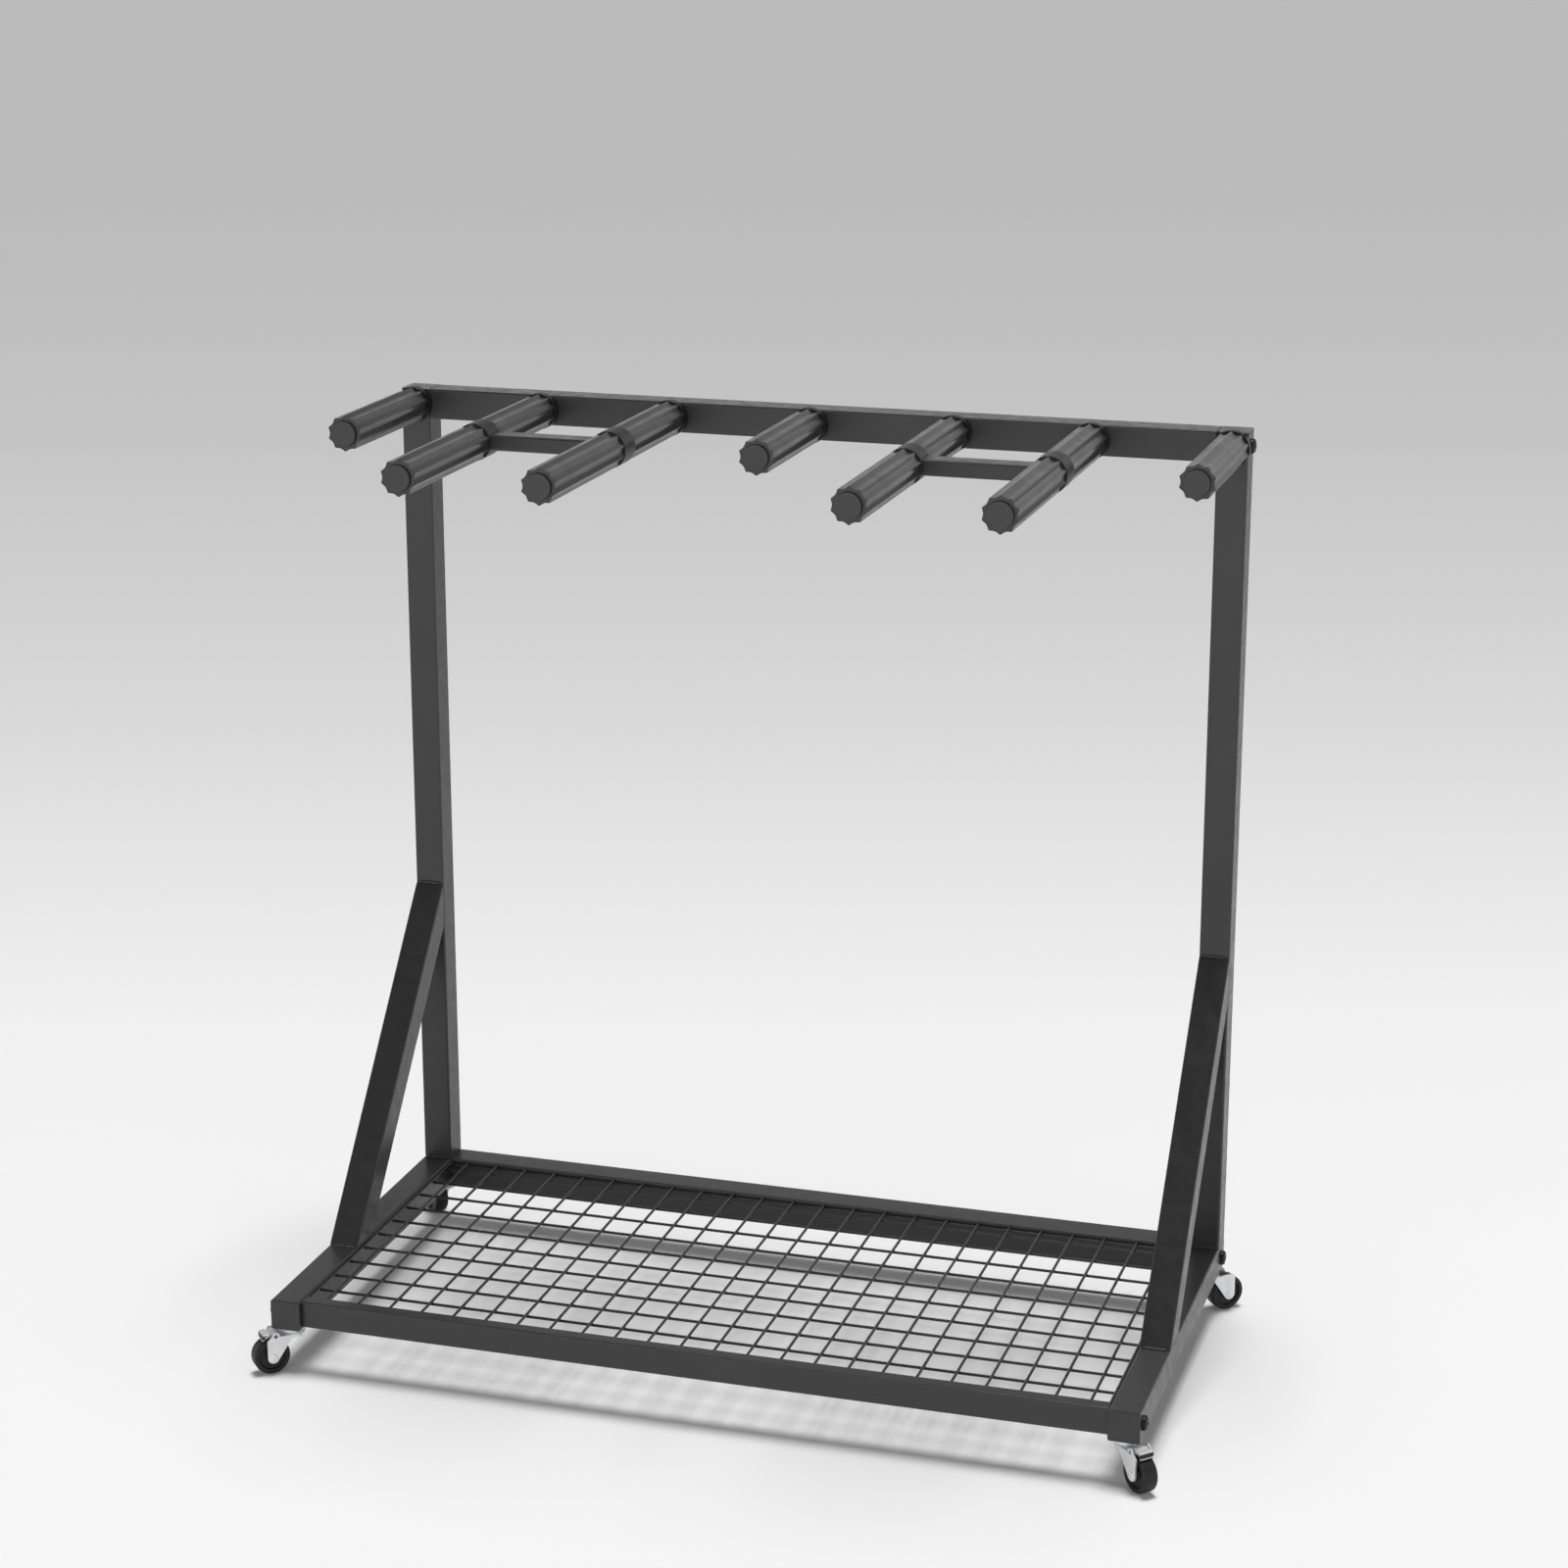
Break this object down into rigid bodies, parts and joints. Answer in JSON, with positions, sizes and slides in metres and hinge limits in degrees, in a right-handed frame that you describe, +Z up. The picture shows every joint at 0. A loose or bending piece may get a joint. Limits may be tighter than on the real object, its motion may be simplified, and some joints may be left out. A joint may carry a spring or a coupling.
{
  "type": "racket rack",
  "caption": "Rolling floor rack that hangs rackets between padded arms on a top beam, with a wire shelf near the floor and swivel casters.",
  "frame": {"origin": "on the floor, at the middle of the footprint", "axes": "+X along the top beam to the right as seen from the front, +Y to the back, +Z up"},
  "size_m": [0.7422, 0.3764, 0.7508],
  "materials": {
    "charcoal_steel": "satin powder coat",
    "black_steel": "satin",
    "black_wire": "satin powder coat",
    "grey_foam": "matt foam with a faint sheen",
    "black_plastic": "matt",
    "zinc_plate": "bright",
    "black_rubber": "matt"
  },
  "bodies": {
    "rack": {"base_tube_left": "charcoal_steel", "base_tube_right": "charcoal_steel", "upright_left": "charcoal_steel", "upright_right": "charcoal_steel", "brace_left": "charcoal_steel", "brace_right": "charcoal_steel", "cross_link_left": "charcoal_steel", "cross_link_right": "charcoal_steel", "top_beam": "charcoal_steel", "front_rail": "charcoal_steel", "rear_rail": "charcoal_steel", "arm_1": "black_steel", "arm_2": "black_steel", "arm_3": "black_steel", "arm_4": "black_steel", "arm_5": "black_steel", "arm_6": "black_steel", "arm_7": "black_steel", "bolt_front_left": "black_steel", "bolt_front_right": "black_steel", "bolt_rear_left": "black_steel", "bolt_rear_right": "black_steel", "bolt_top_left": "black_steel", "bolt_top_right": "black_steel", "base_plug_front_left": "black_plastic", "base_plug_front_right": "black_plastic", "base_plug_rear_left": "black_plastic", "base_plug_rear_right": "black_plastic", "upright_plug_left": "black_plastic", "upright_plug_right": "black_plastic", "link_collar_2": "black_plastic", "link_collar_3": "black_plastic", "link_collar_5": "black_plastic", "link_collar_6": "black_plastic", "grip_1": "grey_foam", "grip_4": "grey_foam", "grip_7": "grey_foam", "grip_rear_2": "grey_foam", "grip_rear_3": "grey_foam", "grip_rear_5": "grey_foam", "grip_rear_6": "grey_foam", "grip_front_2": "grey_foam", "grip_front_3": "grey_foam", "grip_front_5": "grey_foam", "grip_front_6": "grey_foam", "wire_shelf": "black_wire", "caster_mount_front_left": "zinc_plate", "caster_mount_front_right": "zinc_plate", "caster_mount_rear_left": "zinc_plate", "caster_mount_rear_right": "zinc_plate"},
    "swivel_front_left": {"caster_fork_front_left": "zinc_plate"},
    "wheel_front_left": {"caster_wheel_front_left": "black_rubber"},
    "pedal_left": {"brake_pedal_left": "black_plastic"},
    "swivel_front_right": {"caster_fork_front_right": "zinc_plate"},
    "wheel_front_right": {"caster_wheel_front_right": "black_rubber"},
    "pedal_right": {"brake_pedal_right": "black_plastic"},
    "swivel_rear_left": {"caster_fork_rear_left": "zinc_plate"},
    "wheel_rear_left": {"caster_wheel_rear_left": "black_rubber"},
    "swivel_rear_right": {"caster_fork_rear_right": "zinc_plate"},
    "wheel_rear_right": {"caster_wheel_rear_right": "black_rubber"}
  },
  "joints": [
    {"name": "swivel_front_left", "type": "hinge", "parent": "rack", "child": "swivel_front_left", "pos_m": [-0.343, -0.1615, 0.034], "axis": [0, 0, 1], "continuous": true},
    {"name": "wheel_spin_front_left", "type": "hinge", "parent": "swivel_front_left", "child": "wheel_front_left", "pos_m": [-0.3569, -0.17446, 0.015], "axis": [0.682, -0.7314, 0], "continuous": true},
    {"name": "brake_pedal_left", "type": "hinge", "parent": "swivel_front_left", "child": "pedal_left", "pos_m": [-0.35507, -0.17275, 0.0332], "axis": [0.682, -0.7314, 0], "range_deg": [0, 8]},
    {"name": "swivel_front_right", "type": "hinge", "parent": "rack", "child": "swivel_front_right", "pos_m": [0.343, -0.1615, 0.034], "axis": [0, 0, 1], "continuous": true},
    {"name": "wheel_spin_front_right", "type": "hinge", "parent": "swivel_front_right", "child": "wheel_front_right", "pos_m": [0.3569, -0.17446, 0.015], "axis": [0.682, 0.7314, 0], "continuous": true},
    {"name": "brake_pedal_right", "type": "hinge", "parent": "swivel_front_right", "child": "pedal_right", "pos_m": [0.35507, -0.17275, 0.0332], "axis": [0.682, 0.7314, 0], "range_deg": [0, 8]},
    {"name": "swivel_rear_left", "type": "hinge", "parent": "rack", "child": "swivel_rear_left", "pos_m": [-0.343, 0.1615, 0.034], "axis": [0, 0, 1], "continuous": true},
    {"name": "wheel_spin_rear_left", "type": "hinge", "parent": "swivel_rear_left", "child": "wheel_rear_left", "pos_m": [-0.3569, 0.17446, 0.015], "axis": [-0.682, -0.7314, 0], "continuous": true},
    {"name": "swivel_rear_right", "type": "hinge", "parent": "rack", "child": "swivel_rear_right", "pos_m": [0.343, 0.1615, 0.034], "axis": [0, 0, 1], "continuous": true},
    {"name": "wheel_spin_rear_right", "type": "hinge", "parent": "swivel_rear_right", "child": "wheel_rear_right", "pos_m": [0.3569, 0.17446, 0.015], "axis": [-0.682, 0.7314, 0], "continuous": true}
  ]
}
